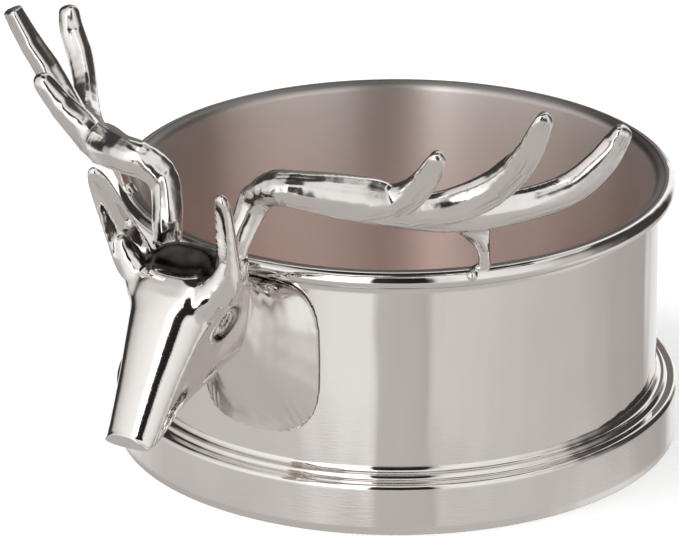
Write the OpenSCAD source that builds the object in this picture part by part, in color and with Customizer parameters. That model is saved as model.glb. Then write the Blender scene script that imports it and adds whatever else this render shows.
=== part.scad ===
// Wine bottle coaster: a round gallery on a moulded base, with a stag's head
// on the front and its antlers swept back along the rim.
// The origin is on the coaster's axis at the table. +Z is up, the stag looks along -Y
// and the animal's left side is +X. All sizes are in millimetres.

/* [Round wall] */
// Outer radius of the round wall
wall_r = 60; // [52:0.5:75]
// Thickness of the wall's sheet
wall_t = 1.2; // [0.8:0.1:2]
// Height of the rim's top above the table
rim_top = 61.3; // [54:0.1:75]

/* [Rim bead] */
// Radius of the round bead along the rim
bead_wire_r = 2.05; // [1.6:0.05:2.6]
// How far the bead's centre stands outside the wall's outer face
bead_out = 1.65; // [1.2:0.05:2.2]
// How far the wall's top edge lies under the top of the bead
wall_edge_drop = 0.35; // [0.2:0.05:1]

/* [Base ring] */
// How far the base stands out beyond the wall
base_out = 5; // [3.5:0.1:8]
// Height of the ledge on top of the upright band
band_h = 12; // [8:0.1:16]
// Radius of the band's rounded upper edge
shoulder_r = 1.1; // [0.5:0.1:1.6]
// Radius of the lower hollow, which rises from the ledge
low_cove_r = 0.95; // [0.5:0.05:1.3]
// Width of the fine ridge between the two hollows
ridge_w = 0.45; // [0.3:0.05:0.7]
// Height of the upright side of that ridge
ridge_h = 0.15; // [0.1:0.05:0.4]
// Radius of the upper hollow, which runs into the wall
cove_r = 1.3; // [0.8:0.1:1.9]
// Thickness of the base's upper edge against the wall
feather_t = 0.15; // [0.1:0.05:0.4]

/* [Floor and pad] */
// Thickness of the metal floor
floor_t = 1.5; // [0.8:0.1:2.5]
// Thickness of the cloth pad under the floor
pad_t = 1.5; // [0.8:0.1:2.5]
// How far the pad reaches out beyond the wall, under the base ring
pad_out = 2.2; // [1:0.1:3]
// Gap between the pad's edge and the base ring
pad_gap = 0.3; // [0.1:0.05:0.6]

/* [Stag's head] */
// Reach of the nose beyond the wall
head_out = 53; // [42:0.5:66]
// Half of the head's greatest width
head_half_w = 10.6; // [8:0.1:14]
// Length of an ear from its root inside the head
ear_len = 30.5; // [25:0.5:38]
// Half of an ear's greatest width
ear_half_w = 4.6; // [3.6:0.1:5.6]
// Thickness of an ear behind its hollow
ear_t = 1.5; // [1.1:0.1:2.2]
// Half width, across the head, of the seat that carries an antler
pedicle_r = 3.1; // [2.7:0.1:4]

/* [Neck] */
// Half of the width of the neck's flared foot on the wall
neck_half_w = 15.2; // [12:0.1:20]
// Height of the lower edge of the neck's foot above the table
neck_low = 20.3; // [17:0.1:24]
// Gap under the rim bead, above the neck's foot
neck_gap = 0.3; // [0.2:0.05:1]
// Thickness of the neck's flared edge
lip_t = 0.9; // [0.5:0.1:1.6]
// Width of the neck's end as a share of the head's back
neck_end_share = 0.93; // [0.8:0.01:0.98]

/* [Antlers] */
// Width over both antlers
antler_span = 150; // [125:1:190]
// Rise of the highest tine above the rim
antler_rise = 45; // [36:0.5:60]
// Half height of the antler's beam where it is thickest
beam_r = 4.5; // [3.6:0.1:5.6]
// Depth of the long grooves as a share of the antler's radius
groove_share = 0.12; // [0:0.01:0.2]
// Turn along the rim from the stag's face to an antler's foot
foot_angle = 48; // [42:0.5:54]
// Half length, along the rim, of the antler's foot
foot_half_l = 2.5; // [2:0.1:3.2]
// How far the foot's middle stands outside the wall's outer face
foot_stand = 0.6; // [0.5:0.1:1.2]

/* [Hidden] */
// Points around the head's and neck's sections
head_sides = 32;
// Rings along the head
head_rings = 26;
// Points around and rings along an ear
ear_sides = 20;
ear_rings = 14;
// Points around an antler's section
antler_sides = 14;
// One overrun serves all cuts
overrun = 1;
$fn = 96;

// Heights and radii that follow from the sizes above
bead_r = wall_r + bead_out;
bead_z = rim_top - bead_wire_r;
wall_top = rim_top - wall_edge_drop;
wall_inner_r = wall_r - wall_t;
base_r = wall_r + base_out;
floor_top = pad_t + floor_t;
pad_r = wall_r + pad_out;
cove_r_in = feather_t + cove_r;
half_span = antler_span / 2;

// The head's stations from its flat back to the nose: the top line's reach and height,
// the throat line's reach and height, the half width, and how much the jaw narrows.
// Reaches are shares of head_out beyond the wall, heights are shares of rim_top.
head_shares = [
    [0.285, 1.075, 0.265, 0.700, 0.86, 0.40],
    [0.360, 1.130, 0.300, 0.690, 0.96, 0.44],
    [0.440, 1.172, 0.350, 0.682, 1.03, 0.48],
    [0.520, 1.180, 0.405, 0.673, 1.08, 0.50],
    [0.590, 1.136, 0.460, 0.664, 1.10, 0.51],
    [0.655, 1.118, 0.520, 0.653, 1.08, 0.51],
    [0.718, 1.070, 0.585, 0.640, 1.00, 0.50],
    [0.770, 0.990, 0.645, 0.626, 0.91, 0.48],
    [0.822, 0.900, 0.700, 0.610, 0.81, 0.44],
    [0.884, 0.805, 0.755, 0.592, 0.73, 0.39],
    [0.940, 0.725, 0.806, 0.574, 0.67, 0.34],
    [0.978, 0.665, 0.888, 0.552, 0.62, 0.28],
    [0.998, 0.632, 0.972, 0.566, 0.53, 0.12]
];
// Squareness of the head's sections, 1 for an ellipse and less for a squarer outline
head_square_share = 0.60;
// The hollow between the ears: its middle's reach and height, and its half sizes across,
// along and in height as shares of head_half_w
hollow_reach_share = 0.610;
hollow_top_share = 1.220;
hollow_half_shares = [1.12, 0.56, 0.64];

// The neck's sections between its foot and the head, in the order in which they lie:
// the top's and throat's reach as shares of head_out beyond the wall, the height
// between the foot's lower edge and the head's back as a share of that rise, the
// half width as a share of neck_half_w, and how far the section has turned from
// the wall's curve to the head's flat back.
neck_shares = [
    [0.030, 0.034, 0.14, 0.86, 0.05],
    [0.062, 0.066, 0.26, 0.735, 0.18],
    [0.110, 0.112, 0.43, 0.635, 0.45],
    [0.180, 0.178, 0.66, 0.565, 0.75]
];
// Height of the same sections' top, between the foot's top and the head's back
neck_top_shares = [-0.02, 0.00, 0.16, 0.48];

// The antler's pedicle on the head: side, reach and height
pedicle_side_share = 0.850;
pedicle_reach_share = 0.402;
pedicle_top_share = 1.148;
pedicle_root_share = 1.050;
// The antler's base, along and across its spread, and its seat's, as shares of pedicle_r
base_shares = [0.66, 1.00];
seat_shares = [0.70, 1.05];

// The beam runs from the pedicle over the ear and back to the rearmost tine.
// Each row holds the side as a share of half the span, the reach as a share of head_out
// beyond the wall, the height as a share of antler_rise above the rim, and the half
// height and half thickness as shares of beam_r.
left_beam_shares = [
    [0.136, 0.368, 0.385, 0.76, 0.77],
    [0.158, 0.345, 0.485, 0.86, 0.80],
    [0.213, 0.365, 0.558, 0.91, 0.83],
    [0.280, 0.361, 0.578, 0.92, 0.87],
    [0.346, 0.291, 0.544, 0.99, 0.94],
    [0.422, 0.179, 0.498, 1.08, 0.98],
    [0.491, 0.073, 0.449, 1.06, 0.93],
    [0.539, -0.033, 0.400, 1.02, 0.86],
    [0.592, -0.140, 0.365, 1.00, 0.82],
    [0.665, -0.270, 0.348, 0.95, 0.78],
    [0.750, -0.410, 0.362, 0.90, 0.74],
    [0.835, -0.530, 0.420, 0.87, 0.71],
    [0.898, -0.605, 0.530, 0.80, 0.67],
    [0.940, -0.642, 0.650, 0.66, 0.58],
    [0.965, -0.648, 0.725, 0.46, 0.42]
];
left_front_tine_shares = [
    [0.385, 0.230, 0.512, 0.55, 0.50],
    [0.446, 0.148, 0.480, 0.78, 0.68],
    [0.505, 0.085, 0.485, 0.86, 0.72],
    [0.560, 0.068, 0.545, 0.80, 0.69],
    [0.619, 0.087, 0.655, 0.67, 0.60],
    [0.680, 0.152, 0.800, 0.46, 0.43]
];
left_middle_tine_shares = [
    [0.462, 0.115, 0.460, 0.55, 0.50],
    [0.536, 0.000, 0.420, 0.82, 0.70],
    [0.605, -0.085, 0.425, 0.90, 0.74],
    [0.668, -0.138, 0.465, 0.96, 0.75],
    [0.732, -0.175, 0.540, 0.93, 0.73],
    [0.800, -0.185, 0.660, 0.82, 0.67],
    [0.860, -0.165, 0.805, 0.65, 0.58],
    [0.908, -0.136, 0.966, 0.44, 0.41]
];
// The right antler's beam lies a little further out, and its tines are broader
right_beam_shares = [
    [0.136, 0.368, 0.385, 0.80, 0.80],
    [0.158, 0.346, 0.484, 0.88, 0.82],
    [0.212, 0.364, 0.559, 0.93, 0.85],
    [0.280, 0.363, 0.572, 0.93, 0.87],
    [0.349, 0.295, 0.547, 0.97, 0.92],
    [0.425, 0.185, 0.497, 1.00, 0.93],
    [0.495, 0.080, 0.445, 1.02, 0.90],
    [0.548, -0.020, 0.390, 1.00, 0.84],
    [0.604, -0.123, 0.349, 0.96, 0.78],
    [0.681, -0.245, 0.321, 0.89, 0.73],
    [0.772, -0.385, 0.350, 0.82, 0.67],
    [0.846, -0.522, 0.424, 0.79, 0.64],
    [0.901, -0.602, 0.534, 0.86, 0.70],
    [0.947, -0.636, 0.651, 0.81, 0.66],
    [0.972, -0.666, 0.773, 0.60, 0.50]
];
right_front_tine_shares = [
    [0.385, 0.236, 0.505, 0.55, 0.50],
    [0.451, 0.150, 0.468, 0.80, 0.70],
    [0.512, 0.100, 0.463, 0.91, 0.76],
    [0.569, 0.083, 0.527, 0.96, 0.80],
    [0.629, 0.109, 0.628, 0.76, 0.67],
    [0.687, 0.150, 0.778, 0.58, 0.52]
];
right_middle_tine_shares = [
    [0.462, 0.120, 0.455, 0.55, 0.50],
    [0.538, 0.008, 0.408, 0.80, 0.68],
    [0.611, -0.075, 0.413, 0.87, 0.71],
    [0.678, -0.120, 0.443, 0.91, 0.71],
    [0.745, -0.158, 0.525, 0.90, 0.70],
    [0.809, -0.173, 0.650, 0.88, 0.68],
    [0.869, -0.155, 0.798, 0.80, 0.61],
    [0.915, -0.132, 0.953, 0.72, 0.50]
];
// The strut between the rim and the beam spreads into a web: place between foot and
// beam, how far it leans towards the head and its half length, as shares of
// foot_half_l, and half thickness as a share of the bead's wire
strut_shares = [
    [0.00, 0.00, 1.10, 0.84],
    [0.14, 0.00, 0.98, 0.84],
    [0.34, 0.04, 0.90, 0.86],
    [0.55, 0.20, 1.08, 0.84],
    [0.74, 0.62, 1.60, 0.80],
    [0.88, 1.25, 2.35, 0.76],
    [1.00, 1.85, 3.10, 0.74]
];
// Where the strut meets the beam, as a row of the beam
strut_head_shares = [0.650, -0.245, 0.330];

// An ear from its root to its tip: place along the ear, half width as a share, and how
// far its hollow has opened, from 0 to 1
ear_shares = [
    [0.00, 0.62, 0.00],
    [0.13, 0.92, 0.35],
    [0.27, 0.93, 0.80],
    [0.42, 0.81, 1.00],
    [0.56, 0.72, 1.00],
    [0.72, 0.62, 0.95],
    [0.86, 0.50, 0.80],
    [0.95, 0.34, 0.50],
    [1.00, 0.13, 0.10]
];
// How round the two edges beside an ear's hollow are
ear_edge_share = 0.5;
// The ear's root on the head, its lean, and where its hollow faces at the root and the tip
ear_root_side_share = 0.925;
ear_root_reach_share = 0.547;
ear_root_top_share = 1.028;
ear_lean = [0.21, -0.325, 0.92];
ear_root_facing = [-0.78, -0.62, 0];
ear_tip_facing = [-0.34, -0.93, 0];

function unit(v) = v / norm(v);
function flip(v, side) = [v[0] * side, v[1], v[2]];
function powered(v, p) = sign(v) * pow(abs(v), p);

// A smooth curve through the rows of a table, at place s from 0 to 1
function smooth(rows, s) =
    let (
        n = len(rows) - 1,
        x = min(max(s, 0), 1) * n,
        i = min(floor(x), n - 1),
        u = x - i,
        a = rows[max(i - 1, 0)],
        b = rows[i],
        c = rows[i + 1],
        d = rows[min(i + 2, n)]
    )
    (2 * b + (c - a) * u + (2 * a - 5 * b + 4 * c - d) * u * u + (3 * b - a - 3 * c + d) * u * u * u) / 2;

function middle(ring) = [for (axis = [0:2]) sum([for (p = ring) p[axis]]) / len(ring)];
function sum(list, i = 0) = i < len(list) ? list[i] + sum(list, i + 1) : 0;

// A closed solid over rings of points, with a fan of triangles on each end
module loft(rings) {
    n = len(rings[0]);
    last = len(rings) - 1;
    points = concat([middle(rings[0]), middle(rings[last])], [for (ring = rings) each ring]);
    side_faces = [
        for (k = [0:last - 1], j = [0:n - 1])
            let (
                a = 2 + k * n + j,
                b = 2 + k * n + (j + 1) % n,
                c = b + n,
                d = a + n
            )
            each [[a, b, c], [a, c, d]]
    ];
    start_faces = [for (j = [0:n - 1]) [0, 2 + (j + 1) % n, 2 + j]];
    end_faces = [for (j = [0:n - 1]) [1, 2 + last * n + j, 2 + last * n + (j + 1) % n]];
    polyhedron(points, concat(side_faces, start_faces, end_faces));
}

// Round wall
module wall() {
    color("silver")
        difference() {
            translate([0, 0, floor_top])
                cylinder(r = wall_r, h = wall_top - floor_top);
            translate([0, 0, floor_top - overrun])
                cylinder(r = wall_inner_r, h = wall_top - floor_top + 2 * overrun);
        }
}

module wall_profile() {
    translate([wall_inner_r, floor_top])
        square([wall_t, wall_top - floor_top]);
}

// Round bead that is rebated onto the wall's top edge
module rim_bead() {
    color("gainsboro")
        rotate_extrude()
            difference() {
                translate([bead_r, bead_z])
                    circle(r = bead_wire_r);
                wall_profile();
            }
}

// Everything of the rim that an antler's foot sits over, filled up inside the wall
module rim_envelope() {
    rotate_extrude()
        union() {
            translate([bead_r, bead_z])
                circle(r = bead_wire_r);
            wall_profile();
            square([wall_r - wall_t / 2, wall_top]);
        }
}

// Moulded base ring
function arc(centre, r, from, to, steps) = [
    for (i = [0:steps])
        let (a = from + (to - from) * i / steps)
        centre + r * [cos(a), sin(a)]
];

module base_ring() {
    arc_steps = 6;
    cove_foot = wall_r + cove_r_in;
    ridge_out = cove_foot + ridge_w;
    room = base_r - ridge_out;
    shoulder = min(shoulder_r, room / 2);
    low_cove = min(low_cove_r, room - shoulder - feather_t);
    ridge_z = band_h + low_cove + ridge_h;
    cove_z = ridge_z + cove_r;
    color("silver")
        rotate_extrude()
            polygon(concat(
                [[pad_r + pad_gap, 0], [base_r, 0]],
                arc([base_r - shoulder, band_h - shoulder], shoulder, 0, 90, arc_steps),
                arc([ridge_out + low_cove, band_h + low_cove], low_cove, -90, -180, arc_steps),
                [[ridge_out, ridge_z]],
                arc([cove_foot, cove_z], cove_r, -90, -180, arc_steps),
                [[wall_r, cove_z], [wall_r, pad_t], [pad_r + pad_gap, pad_t]]
            ));
}

// Metal floor inside the base ring, under the wall
module floor_disc() {
    color("lightgray")
        translate([0, 0, pad_t])
            cylinder(r = wall_r, h = floor_t);
}

// Cloth pad that the coaster stands on
module base_pad() {
    color("darkgreen")
        cylinder(r = pad_r, h = pad_t);
}

// One section of the head: a squared oval between the top line and the throat line
function section(top, low, half_w, jaw_share, bend = 0, bend_r = wall_r) = [
    for (j = [0:head_sides - 1])
        let (
            a = -360 * j / head_sides,
            up = powered(sin(a), head_square_share),
            side = half_w * powered(cos(a), head_square_share) * (1 - jaw_share * (1 - up) / 2),
            mid = (top + low) / 2 + up * (top - low) / 2,
            sag = bend * (bend_r - sqrt(bend_r * bend_r - side * side))
        )
        [side, -(mid[0] - sag), mid[1]]
];

function head_row(s) = smooth(head_shares, s);
function head_top(row) = [wall_r + row[0] * head_out, row[1] * rim_top];
function head_low(row) = [wall_r + row[2] * head_out, row[3] * rim_top];
function head_section(row) =
    section(head_top(row), head_low(row), row[4] * head_half_w, row[5]);

// An ear is a horn shape with a long hollow
function ear_ring(row, side) =
    let (
        root = [
            ear_root_side_share * head_half_w,
            -(wall_r + ear_root_reach_share * head_out),
            ear_root_top_share * rim_top
        ],
        along = unit(ear_lean),
        facing = ear_root_facing + row[0] * (ear_tip_facing - ear_root_facing),
        face = unit(facing - (facing * along) * along),
        across = cross(along, face),
        centre = root + along * row[0] * ear_len
    )
    [
        for (j = [0:ear_sides - 1])
            let (
                a = side * 360 * j / ear_sides,
                w = ear_half_w * row[1],
                c = cos(a),
                depth = max(0, 1 - ear_t / w),
                hollow = ear_edge_share * c - c * c * (ear_edge_share + depth),
                rise = c > 0 ? c + row[2] * (hollow - c) : c
            )
            flip(centre - across * w * sin(a) + face * w * rise, side)
    ];

module ear(side) {
    loft([for (k = [0:ear_rings]) ear_ring(smooth(ear_shares, k / ear_rings), side)]);
}

function pedicle_top() = [
    pedicle_side_share * head_half_w,
    -(wall_r + pedicle_reach_share * head_out),
    pedicle_top_share * rim_top
];

module pedicle(side) {
    top = pedicle_top();
    size = seat_shares * pedicle_r;
    loft([
        for (z = [pedicle_root_share * rim_top, top[2]])
            antler_ring([top[0], top[1], z, size[0], size[1]], [0, 0, 1], 0, side)
    ]);
}

module poll_hollow() {
    translate([0, -(wall_r + hollow_reach_share * head_out), hollow_top_share * rim_top])
        scale(hollow_half_shares)
            sphere(r = head_half_w, $fn = 40);
}

// Cast head with its ears and the seats of the antlers
module head() {
    color("gainsboro")
        union() {
            difference() {
                loft([for (k = [0:head_rings]) head_section(head_row(k / head_rings))]);
                poll_hollow();
            }
            for (side = [-1, 1]) {
                ear(side);
                pedicle(side);
            }
        }
}

// Neck that flares onto the wall and ends on the head's flat back
module neck() {
    back = head_row(0);
    back_top = head_top(back);
    back_low = head_low(back);
    back_mid = (back_top + back_low) / 2;
    end_top = back_mid + neck_end_share * (back_top - back_mid);
    end_low = back_mid + neck_end_share * (back_low - back_mid);
    end_half_w = neck_end_share * back[4] * head_half_w;
    foot_top = bead_z - bead_wire_r - neck_gap;
    foot_r = [wall_r - lip_t, wall_r + lip_t];
    color("silver")
        difference() {
            loft(concat(
                [
                    for (r = foot_r)
                        section([r, foot_top], [r, neck_low], neck_half_w, 0.0, 1, r)
                ],
                [
                    for (k = [0:len(neck_shares) - 1])
                        let (
                            row = neck_shares[k],
                            top_z = foot_top + neck_top_shares[k] * (end_top[1] - foot_top),
                            low_z = neck_low + row[2] * (end_low[1] - neck_low),
                            top = [foot_r[1] + row[0] * head_out, top_z],
                            low = [foot_r[1] + row[1] * head_out, low_z]
                        )
                        section(top, low, row[3] * neck_half_w, back[5] * row[4], 1 - row[4], top[0])
                ],
                [section(end_top, end_low, end_half_w, back[5])]
            ));
            cylinder(r = wall_r, h = rim_top);
        }
}

// An antler is swept along smooth paths, each ending in a rounded tip
function antler_row(r) = [
    r[0] * half_span,
    -(wall_r + r[1] * head_out),
    rim_top + r[2] * antler_rise,
    r[3] * beam_r,
    r[4] * beam_r
];

function place(row) = [row[0], row[1], row[2]];

// The direction square to the antler's spread, seen from above
function antler_out() =
    let (
        far = antler_row(left_beam_shares[len(left_beam_shares) - 1]),
        spread = unit([far[0] - pedicle_top()[0], far[1] - pedicle_top()[1]])
    )
    [spread[1], -spread[0], 0];

function antler_ring(row, heading, fade, side) =
    let (
        t = unit(heading),
        out = unit(antler_out() - (antler_out() * t) * t),
        up = cross(t, out)
    )
    [
        for (j = [0:antler_sides - 1])
            let (
                a = -side * 360 * j / antler_sides,
                groove = 1 - groove_share * fade * (1 + cos(3 * a)) / 2
            )
            flip(
                place(row) + groove * (row[4] * cos(a) * out + row[3] * sin(a) * up),
                side
            )
    ];

// A branch through the rows of a table, with a rounded tip; level says whether its first
// ring lies level
module branch(rows, level, rings, tip_share, side) {
    cap_steps = 3;
    nudge = 1 / 1000;
    stops = concat(
        [for (k = [0:rings]) [(1 - tip_share) * k / rings, 1]],
        [
            for (k = [1:cap_steps])
                let (a = 90 * k / (cap_steps + 0.35))
                [1 - tip_share + tip_share * sin(a), cos(a)]
        ]
    );
    loft([
        for (stop = stops)
            let (
                s = stop[0],
                row = smooth(rows, s),
                size = [row[0], row[1], row[2], row[3] * stop[1], row[4] * stop[1]],
                ahead = place(smooth(rows, s + nudge)) - place(smooth(rows, s - nudge))
            )
            antler_ring(size, level && s == 0 ? [0, 0, 1] : ahead, level && s == 0 ? 0 : 1, side)
    ]);
}

module strut(side) {
    foot_r = wall_r + foot_stand;
    foot = [foot_r * sin(foot_angle), -foot_r * cos(foot_angle), bead_z];
    head_point = [
        strut_head_shares[0] * half_span,
        -(wall_r + strut_head_shares[1] * head_out),
        rim_top + strut_head_shares[2] * antler_rise
    ];
    to_head = cross(antler_out(), [0, 0, 1]);
    rows = [
        for (r = strut_shares)
            let (p = foot + r[0] * (head_point - foot) + r[1] * foot_half_l * to_head)
            [p[0], p[1], p[2], r[2] * foot_half_l, r[3] * bead_wire_r]
    ];
    rings = 12;
    difference() {
        loft([
            for (k = [0:rings])
                antler_ring(smooth(rows, k / rings), [0, 0, 1], 1, side)
        ]);
        rim_envelope();
    }
}

module antler(side) {
    beam = side > 0 ? left_beam_shares : right_beam_shares;
    front_tine = side > 0 ? left_front_tine_shares : right_front_tine_shares;
    middle_tine = side > 0 ? left_middle_tine_shares : right_middle_tine_shares;
    middle_tip_share = side > 0 ? 0.05 : 0.015;
    seat = pedicle_top();
    first = antler_row(beam[0]);
    base_rows = [
        [seat[0], seat[1], seat[2], base_shares[0] * pedicle_r, base_shares[1] * pedicle_r],
        [seat[0], seat[1], (seat[2] + first[2]) / 2, first[3], first[4]]
    ];
    union() {
        branch(concat(base_rows, [for (r = beam) antler_row(r)]), true, 44, 0.022, side);
        branch([for (r = front_tine) antler_row(r)], false, 12, 0.08, side);
        branch([for (r = middle_tine) antler_row(r)], false, 18, middle_tip_share, side);
        strut(side);
    }
}

// The animal's left antler
module left_antler() {
    color("gainsboro")
        antler(1);
}

// The animal's right antler
module right_antler() {
    color("gainsboro")
        antler(-1);
}

wall();
rim_bead();
base_ring();
floor_disc();
base_pad();
neck();
head();
left_antler();
right_antler();
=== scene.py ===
"""Wine bottle coaster: detailed pieces, materials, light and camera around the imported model.

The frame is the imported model's: +Z is up, the stag looks along -Y, and the animal's left side
is +X. Lengths are written in millimetres and become metres where a mesh or an object is made.
"""
import math

import bpy
import numpy as np
from mathutils import Matrix, Vector


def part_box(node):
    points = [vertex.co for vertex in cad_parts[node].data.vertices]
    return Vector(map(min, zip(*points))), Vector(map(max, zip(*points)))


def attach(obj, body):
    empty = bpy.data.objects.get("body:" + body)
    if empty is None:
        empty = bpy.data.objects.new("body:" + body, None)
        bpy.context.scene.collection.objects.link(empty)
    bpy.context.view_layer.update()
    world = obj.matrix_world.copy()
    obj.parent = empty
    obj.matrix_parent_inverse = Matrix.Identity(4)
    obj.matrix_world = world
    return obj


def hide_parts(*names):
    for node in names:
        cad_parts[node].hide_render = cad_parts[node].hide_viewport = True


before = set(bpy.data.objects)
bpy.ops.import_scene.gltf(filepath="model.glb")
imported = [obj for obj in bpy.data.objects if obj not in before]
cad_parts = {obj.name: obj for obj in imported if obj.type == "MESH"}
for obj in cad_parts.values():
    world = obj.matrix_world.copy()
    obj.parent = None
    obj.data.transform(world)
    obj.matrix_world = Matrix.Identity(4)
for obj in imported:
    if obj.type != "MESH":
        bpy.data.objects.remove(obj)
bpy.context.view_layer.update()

MM = 0.001
BODY = "root"

# Camera, in millimetres, degrees and pixels of a frame 679 wide and 536 high
FRAME_WIDTH_PX = 679
FOCAL_PX = 4954.62
SENSOR_MM = 36.0
CAMERA_DISTANCE = 1141.25
CAMERA_AZIMUTH = 31.6
CAMERA_ELEVATION = 21.945
CAMERA_ROLL = -0.283
AIM_SIDE = -13.194
AIM_HEIGHT = 37.606

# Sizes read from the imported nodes, in millimetres
WALL_LOW, WALL_HIGH = (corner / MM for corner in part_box("wall"))
BEAD_LOW, BEAD_HIGH = (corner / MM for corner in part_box("rim_bead"))
BASE_LOW, BASE_HIGH = (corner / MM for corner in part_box("base_ring"))
FLOOR_LOW, FLOOR_HIGH = (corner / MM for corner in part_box("floor_disc"))
PAD_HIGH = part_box("base_pad")[1] / MM
WALL_R = WALL_HIGH.x
BEAD_WIRE_R = (BEAD_HIGH.z - BEAD_LOW.z) / 2
BEAD_R = BEAD_HIGH.x - BEAD_WIRE_R
BEAD_Z = BEAD_HIGH.z - BEAD_WIRE_R
BASE_R = BASE_HIGH.x

# Thickness of the wall's sheet
WALL_T = 1.2
# Steps round a turned piece
TURNS = 288
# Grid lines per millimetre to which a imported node's points are rounded when they are welded
WELD_GRID = 2000
# The two steps of each smoothing round: towards the neighbours' middle, then back a little further
SMOOTH_STEP, SMOOTH_BACK = 0.5, 0.53
# How far a crease fills in each round, and the rounds between fresh surface directions
CREASE_SHARE, CREASE_BATCH = 0.6, 6
# The picture's rightward direction in the part's x and y, and how far down the picture a millimetre
# towards the stag's front and how far up it a millimetre of height moves a point
PICTURE_RIGHT = (0.852, 0.524)
FRONT_DOWN, HEIGHT_UP = 0.318, 0.928


# Mesh helpers


def new_piece(name, points, faces, material_ids=None):
    """A mesh object from points in millimetres."""
    mesh = bpy.data.meshes.new(name)
    mesh.from_pydata([tuple(p * MM for p in point) for point in points], [], faces)
    if material_ids is not None:
        mesh.polygons.foreach_set("material_index", material_ids)
    mesh.validate()
    mesh.shade_smooth()
    obj = bpy.data.objects.new(name, mesh)
    bpy.context.scene.collection.objects.link(obj)
    return obj


def stand_for(obj, slot, *nodes):
    """Hides the nodes the piece stands for and attaches it to the body; the slot argument is not used."""
    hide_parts(*nodes)
    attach(obj, BODY)


def lathe(name, profile, bands=None):
    """A turned piece from a closed profile of (radius, height); a radius of 0 closes on the axis."""
    points, rows = [], []
    for radius, height in profile:
        if radius == 0:
            rows.append([len(points)] * TURNS)
            points.append((0, 0, height))
        else:
            rows.append(list(range(len(points), len(points) + TURNS)))
            for k in range(TURNS):
                angle = 2 * math.pi * k / TURNS
                points.append((radius * math.cos(angle), radius * math.sin(angle), height))
    faces, ids = [], []
    for i, low in enumerate(rows):
        high = rows[(i + 1) % len(rows)]
        for k in range(TURNS):
            m = (k + 1) % TURNS
            face = list(dict.fromkeys((low[k], low[m], high[m], high[k])))
            if len(face) > 2:
                faces.append(face)
                ids.append(bands[i] if bands else 0)
    return new_piece(name, points, faces, ids)


def arc(cx, cz, radius, start, end, steps):
    """Points on an arc, in degrees, as (radius, height)."""
    angles = [math.radians(start + (end - start) * i / steps) for i in range(steps + 1)]
    return [(cx + radius * math.cos(a), cz + radius * math.sin(a)) for a in angles]


def mesh_of(node):
    """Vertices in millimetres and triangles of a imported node, welded."""
    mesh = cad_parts[node].data
    mesh.calc_loop_triangles()
    co = np.array([v.co for v in mesh.vertices], float) / MM
    tris = np.array([t.vertices for t in mesh.loop_triangles], int)
    keys = np.round(co * WELD_GRID).astype(np.int64)
    _, first, inverse = np.unique(keys, axis=0, return_index=True, return_inverse=True)
    tris = inverse.reshape(-1)[tris]
    keep = (tris[:, 0] != tris[:, 1]) & (tris[:, 1] != tris[:, 2]) & (tris[:, 0] != tris[:, 2])
    return co[first], tris[keep]


def remeshed(name, parts, voxel_mm):
    """One closed mesh over parts, each a pair of vertices and faces in millimetres."""
    points, faces = [], []
    for co, tris in parts:
        start = len(points)
        points.extend(map(tuple, co))
        faces.extend([[i + start for i in tri] for tri in tris])
    rough = new_piece(name + "_rough", points, faces)
    remesh = rough.modifiers.new("voxels", "REMESH")
    remesh.mode = "VOXEL"
    remesh.voxel_size = voxel_mm * MM
    bpy.context.view_layer.update()
    graph = bpy.context.evaluated_depsgraph_get()
    mesh = bpy.data.meshes.new_from_object(rough.evaluated_get(graph))
    bpy.data.objects.remove(rough)
    obj = bpy.data.objects.new(name, mesh)
    mesh.name = name
    bpy.context.scene.collection.objects.link(obj)
    return obj


def coords(obj):
    """The object's points, in millimetres."""
    co = np.zeros(len(obj.data.vertices) * 3)
    obj.data.vertices.foreach_get("co", co)
    return co.reshape(-1, 3) / MM


def set_coords(obj, co):
    obj.data.vertices.foreach_set("co", (co * MM).astype(np.float32).ravel())
    obj.data.update()


def links_of(obj):
    """The mesh's edges as pairs of points, and how many edges meet at each point."""
    pairs = np.zeros(len(obj.data.edges) * 2, int)
    obj.data.edges.foreach_get("vertices", pairs)
    degree = np.bincount(pairs, minlength=len(obj.data.vertices)).clip(1)
    return pairs.reshape(-1, 2), degree


def averaged(co, pairs, degree):
    """Each point's mean over its neighbours."""
    total = np.zeros_like(co)
    for axis in range(co.shape[1]):
        total[:, axis] = np.bincount(pairs[:, 0], co[pairs[:, 1], axis], len(co))
        total[:, axis] += np.bincount(pairs[:, 1], co[pairs[:, 0], axis], len(co))
    return total / degree[:, None]


def relax(obj, rounds, mask=None):
    """Smooths away facets without shrinking; mask from 0 to 1 says how much each point may move."""
    co, (pairs, degree) = coords(obj), links_of(obj)
    share = 1.0 if mask is None else mask[:, None]
    for _ in range(rounds):
        for step in (SMOOTH_STEP, -SMOOTH_BACK):
            co = co + share * step * (averaged(co, pairs, degree) - co)
    set_coords(obj, co)


def normals(obj):
    obj.data.update()
    n = np.zeros(len(obj.data.vertices) * 3)
    obj.data.vertices.foreach_get("normal", n)
    return n.reshape(-1, 3)


def fill_creases(obj, rounds):
    """Rounds out the sharp inner corners where two forms meet, as poured metal does."""
    pairs, degree = links_of(obj)
    for _ in range(rounds // CREASE_BATCH):
        co, n = coords(obj), normals(obj)
        for _ in range(CREASE_BATCH):
            out = np.einsum("ij,ij->i", averaged(co, pairs, degree) - co, n)
            co = co + n * (CREASE_SHARE * np.clip(out, 0, None))[:, None]
        set_coords(obj, co)


def finer(obj):
    """One round of subdivision, applied."""
    step = obj.modifiers.new("finer", "SUBSURF")
    step.levels = step.render_levels = 1
    bpy.context.view_layer.update()
    mesh = bpy.data.meshes.new_from_object(obj.evaluated_get(bpy.context.evaluated_depsgraph_get()))
    obj.modifiers.clear()
    obj.data = mesh


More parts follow.
